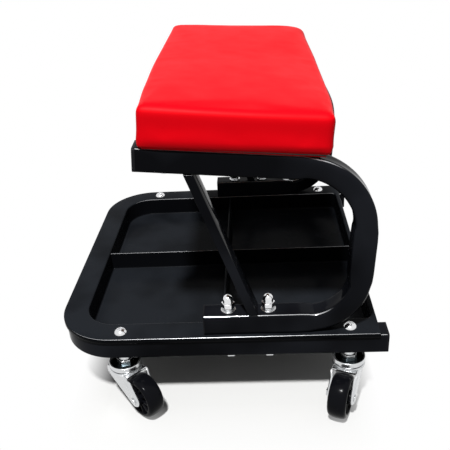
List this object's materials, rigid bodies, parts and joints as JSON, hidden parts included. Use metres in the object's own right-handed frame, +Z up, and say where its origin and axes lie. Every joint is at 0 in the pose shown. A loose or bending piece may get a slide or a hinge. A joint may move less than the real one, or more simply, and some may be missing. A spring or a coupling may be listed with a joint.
{
  "type": "creeper seat",
  "caption": "Rolling low stool: padded seat on C-shaped tube side frames over a U-shaped base with a compartmented tool tray and swivel casters.",
  "frame": {"origin": "on the floor, below the middle of the bounding box at rest", "axes": "+Z up, -X to the front (the tray's rounded end), +Y to the right-hand side frame, along the seat's long side"},
  "size_m": [0.382, 0.4754, 0.3698],
  "materials": {
    "vinyl": "semi-gloss vinyl over foam",
    "plywood": "raw plywood",
    "black_enamel": "gloss",
    "plug_plastic": "satin",
    "tray_plastic": "semi-gloss",
    "zinc": "bright zinc plate",
    "bright_plate": "polished",
    "ball_steel": "polished",
    "wheel_plastic": "gloss"
  },
  "bodies": {
    "stool_frame": {"seat_cushion": "vinyl", "seat_board": "plywood", "cover_hem": "vinyl", "hem_staples": "zinc", "seat_screws": "zinc", "side_frame_left": "black_enamel", "side_frame_right": "black_enamel", "strut_left": "black_enamel", "strut_right": "black_enamel", "top_plug_left": "plug_plastic", "top_plug_right": "plug_plastic", "foot_plug_left": "plug_plastic", "foot_plug_right": "plug_plastic", "rail_plug_left": "plug_plastic", "rail_plug_right": "plug_plastic", "base_frame": "black_enamel", "tool_tray": "tray_plastic", "frame_bolts": "zinc", "lower_washers": "zinc", "upper_washers": "zinc", "spring_washers": "zinc", "acorn_nuts": "bright_plate", "caster_screws": "bright_plate", "stem_front_left": "zinc", "stem_rear_left": "zinc", "stem_front_right": "zinc", "stem_rear_right": "zinc", "dish_front_left": "zinc", "dish_rear_left": "zinc", "dish_front_right": "zinc", "dish_rear_right": "zinc"},
    "swivel_front_left": {"fork_front_left": "zinc", "balls_front_left": "ball_steel", "bush_front_left": "zinc", "axle_front_left": "zinc", "axle_nut_front_left": "zinc"},
    "roller_front_left": {"wheel_front_left": "wheel_plastic"},
    "swivel_rear_left": {"fork_rear_left": "zinc", "balls_rear_left": "ball_steel", "bush_rear_left": "zinc", "axle_rear_left": "zinc", "axle_nut_rear_left": "zinc"},
    "roller_rear_left": {"wheel_rear_left": "wheel_plastic"},
    "swivel_front_right": {"fork_front_right": "zinc", "balls_front_right": "ball_steel", "bush_front_right": "zinc", "axle_front_right": "zinc", "axle_nut_front_right": "zinc"},
    "roller_front_right": {"wheel_front_right": "wheel_plastic"},
    "swivel_rear_right": {"fork_rear_right": "zinc", "balls_rear_right": "ball_steel", "bush_rear_right": "zinc", "axle_rear_right": "zinc", "axle_nut_rear_right": "zinc"},
    "roller_rear_right": {"wheel_rear_right": "wheel_plastic"}
  },
  "joints": [
    {"name": "front_left_swivel", "type": "hinge", "parent": "stool_frame", "child": "swivel_front_left", "pos_m": [-0.1125, -0.1823, 0.053], "axis": [0, 0, 1], "continuous": true},
    {"name": "front_left_roll", "type": "hinge", "parent": "swivel_front_left", "child": "roller_front_left", "pos_m": [-0.09056, -0.20349, 0.026], "axis": [0.6947, 0.7193, 0], "continuous": true},
    {"name": "rear_left_swivel", "type": "hinge", "parent": "stool_frame", "child": "swivel_rear_left", "pos_m": [0.149, -0.1823, 0.053], "axis": [0, 0, 1], "continuous": true},
    {"name": "rear_left_roll", "type": "hinge", "parent": "swivel_rear_left", "child": "roller_rear_left", "pos_m": [0.13757, -0.21058, 0.026], "axis": [0.9272, -0.3746, 0], "continuous": true},
    {"name": "front_right_swivel", "type": "hinge", "parent": "stool_frame", "child": "swivel_front_right", "pos_m": [-0.1125, 0.1823, 0.053], "axis": [0, 0, 1], "continuous": true},
    {"name": "front_right_roll", "type": "hinge", "parent": "swivel_front_right", "child": "roller_front_right", "pos_m": [-0.09056, 0.20349, 0.026], "axis": [-0.6947, 0.7193, 0], "continuous": true},
    {"name": "rear_right_swivel", "type": "hinge", "parent": "stool_frame", "child": "swivel_rear_right", "pos_m": [0.149, 0.1823, 0.053], "axis": [0, 0, 1], "continuous": true},
    {"name": "rear_right_roll", "type": "hinge", "parent": "swivel_rear_right", "child": "roller_rear_right", "pos_m": [0.13757, 0.21058, 0.026], "axis": [-0.9272, -0.3746, 0], "continuous": true}
  ]
}
